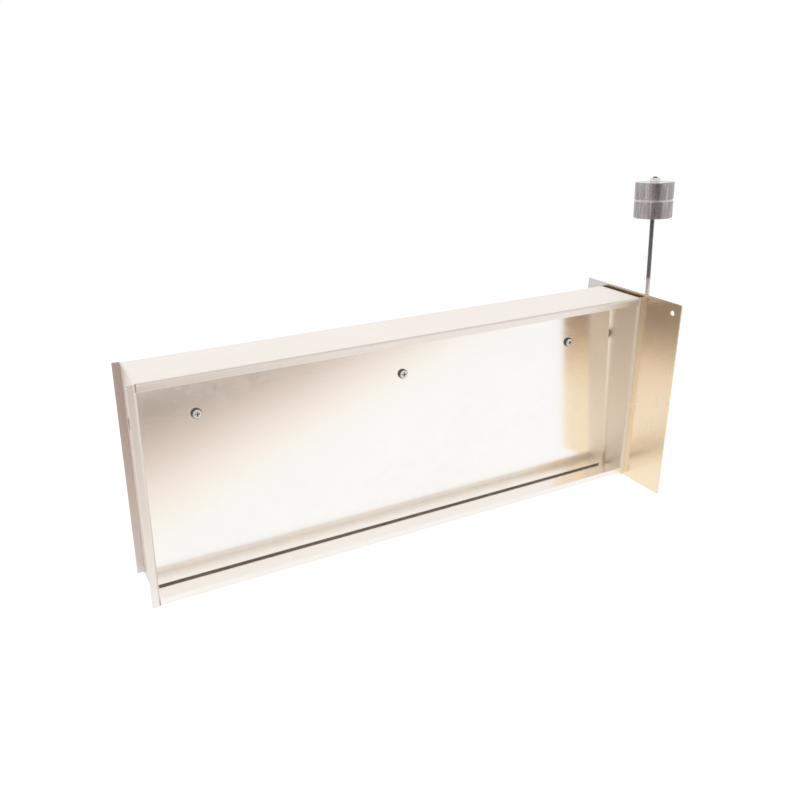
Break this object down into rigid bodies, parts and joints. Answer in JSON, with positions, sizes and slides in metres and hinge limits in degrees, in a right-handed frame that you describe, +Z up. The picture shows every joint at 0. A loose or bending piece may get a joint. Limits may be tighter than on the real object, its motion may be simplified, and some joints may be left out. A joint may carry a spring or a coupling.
{
  "type": "static pressure relief damper",
  "caption": "Slip-in static pressure relief damper: folded sheet frame, hinged blade on a shaft, side mounting plate and an adjustable counterweight arm outside the duct.",
  "frame": {"origin": "centre of the mounting plate's two-hole pattern, on the plate's bearing face", "axes": "+X out of the duct through the plate, +Y along the air path, +Z up"},
  "size_m": [0.5711, 0.127, 0.3064],
  "materials": {
    "galvanised_steel": "satin zinc-coated sheet",
    "plate_steel": "satin zinc-coated sheet, warm",
    "blade_steel": "satin zinc-coated sheet",
    "rivet_aluminium": "satin",
    "gasket_rubber": "matt foam rubber, brown-grey",
    "bushing_bronze": "sintered bronze, dull",
    "bright_steel": "drawn bar, satin",
    "dark_steel": "dark, lightly oiled",
    "zinc_screw": "zinc plated",
    "weight_steel": "turned, fine knurl"
  },
  "bodies": {
    "frame": {"left_stile": "galvanised_steel", "right_stile": "galvanised_steel", "top_rail": "galvanised_steel", "bottom_rail": "galvanised_steel", "corner_cleats": "galvanised_steel", "corner_rivets": "rivet_aluminium", "mounting_plate": "plate_steel", "stop_angle": "galvanised_steel", "stop_gasket": "gasket_rubber", "left_bushing": "bushing_bronze", "right_bushing": "bushing_bronze", "plate_bushing": "bushing_bronze"},
    "blade": {"shaft": "bright_steel", "retaining_rings": "dark_steel", "blade": "blade_steel", "blade_screws": "zinc_screw"},
    "arm": {"arm_hub": "bright_steel", "hub_set_screw": "dark_steel", "hub_nut": "zinc_screw", "arm_rod": "dark_steel"},
    "weights": {"lower_weight": "weight_steel", "upper_weight": "weight_steel", "top_nut": "zinc_screw"}
  },
  "joints": [
    {"name": "blade_swing", "type": "hinge", "parent": "frame", "child": "blade", "pos_m": [-0.2524, 0.0228, 0.05035], "axis": [-1, 0, 0], "range_deg": [0, 75]},
    {"name": "arm_setting", "type": "hinge", "parent": "blade", "child": "arm", "pos_m": [0.0473, 0.0228, 0.05035], "axis": [-1, 0, 0], "range_deg": [-90, 90]},
    {"name": "weight_setting", "type": "slide", "parent": "arm", "child": "weights", "axis": [0, 0.0576, 0.9983], "range_m": [-0.06, 0]}
  ]
}
